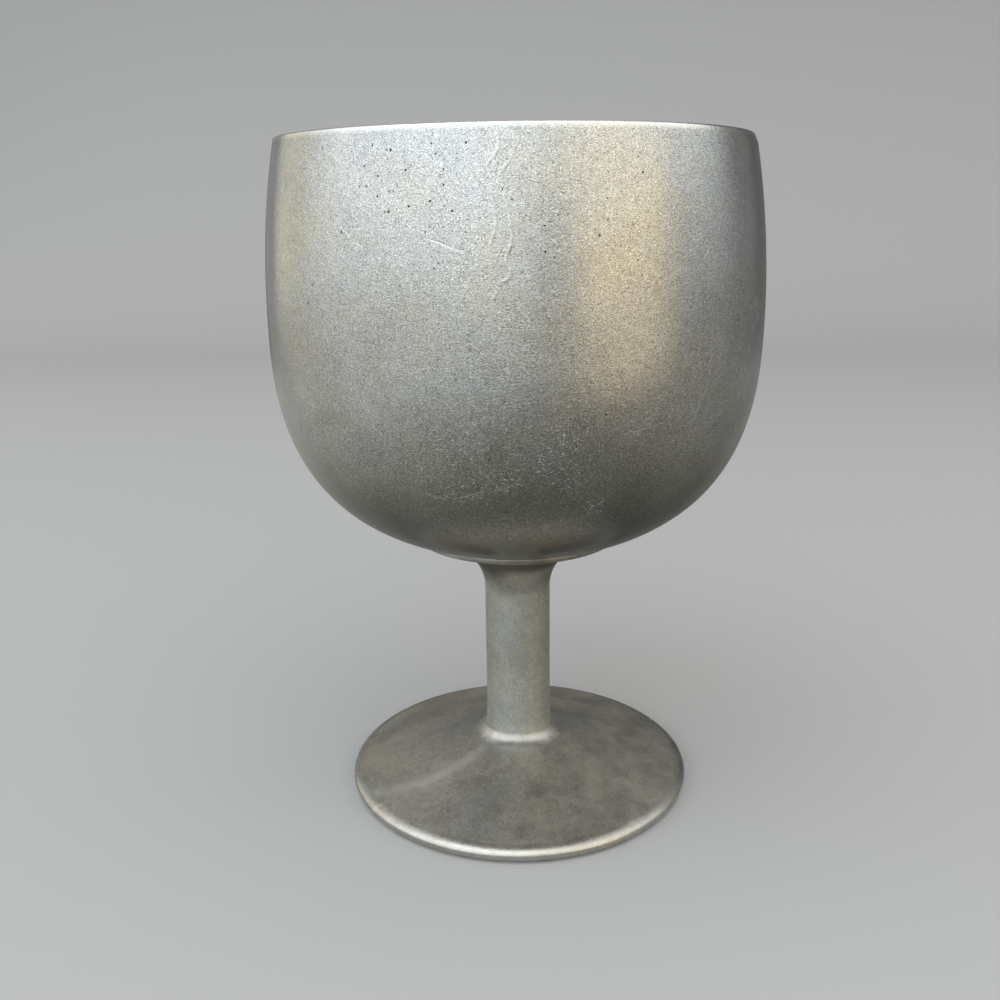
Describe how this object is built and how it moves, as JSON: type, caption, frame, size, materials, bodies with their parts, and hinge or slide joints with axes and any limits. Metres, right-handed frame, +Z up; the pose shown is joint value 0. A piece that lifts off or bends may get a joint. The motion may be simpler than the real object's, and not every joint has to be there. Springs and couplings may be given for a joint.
{
  "type": "communion chalice",
  "caption": "Deep round-bottomed cast metal cup on a thin collar, a slim flared stem and a shallow cone foot, drawn together by a hidden threaded rod and nut.",
  "frame": {"origin": "centre of the ring that the foot rests on", "axes": "+Z up along the chalice's axis of symmetry, from foot to rim; +X and +Y are any two directions square to it"},
  "size_m": [0.108, 0.108, 0.15],
  "materials": {
    "cast_metal": "satin cast metal, dulled, with fine pits and light scratches",
    "steel_fastener": "plain bright steel"
  },
  "bodies": {
    "root": {"bowl": "cast_metal", "seat_collar": "cast_metal", "stem": "cast_metal", "foot": "cast_metal", "tie_rod": "steel_fastener", "clamp_washer": "steel_fastener", "lock_washer": "steel_fastener", "nut": "steel_fastener"}
  },
  "joints": []
}
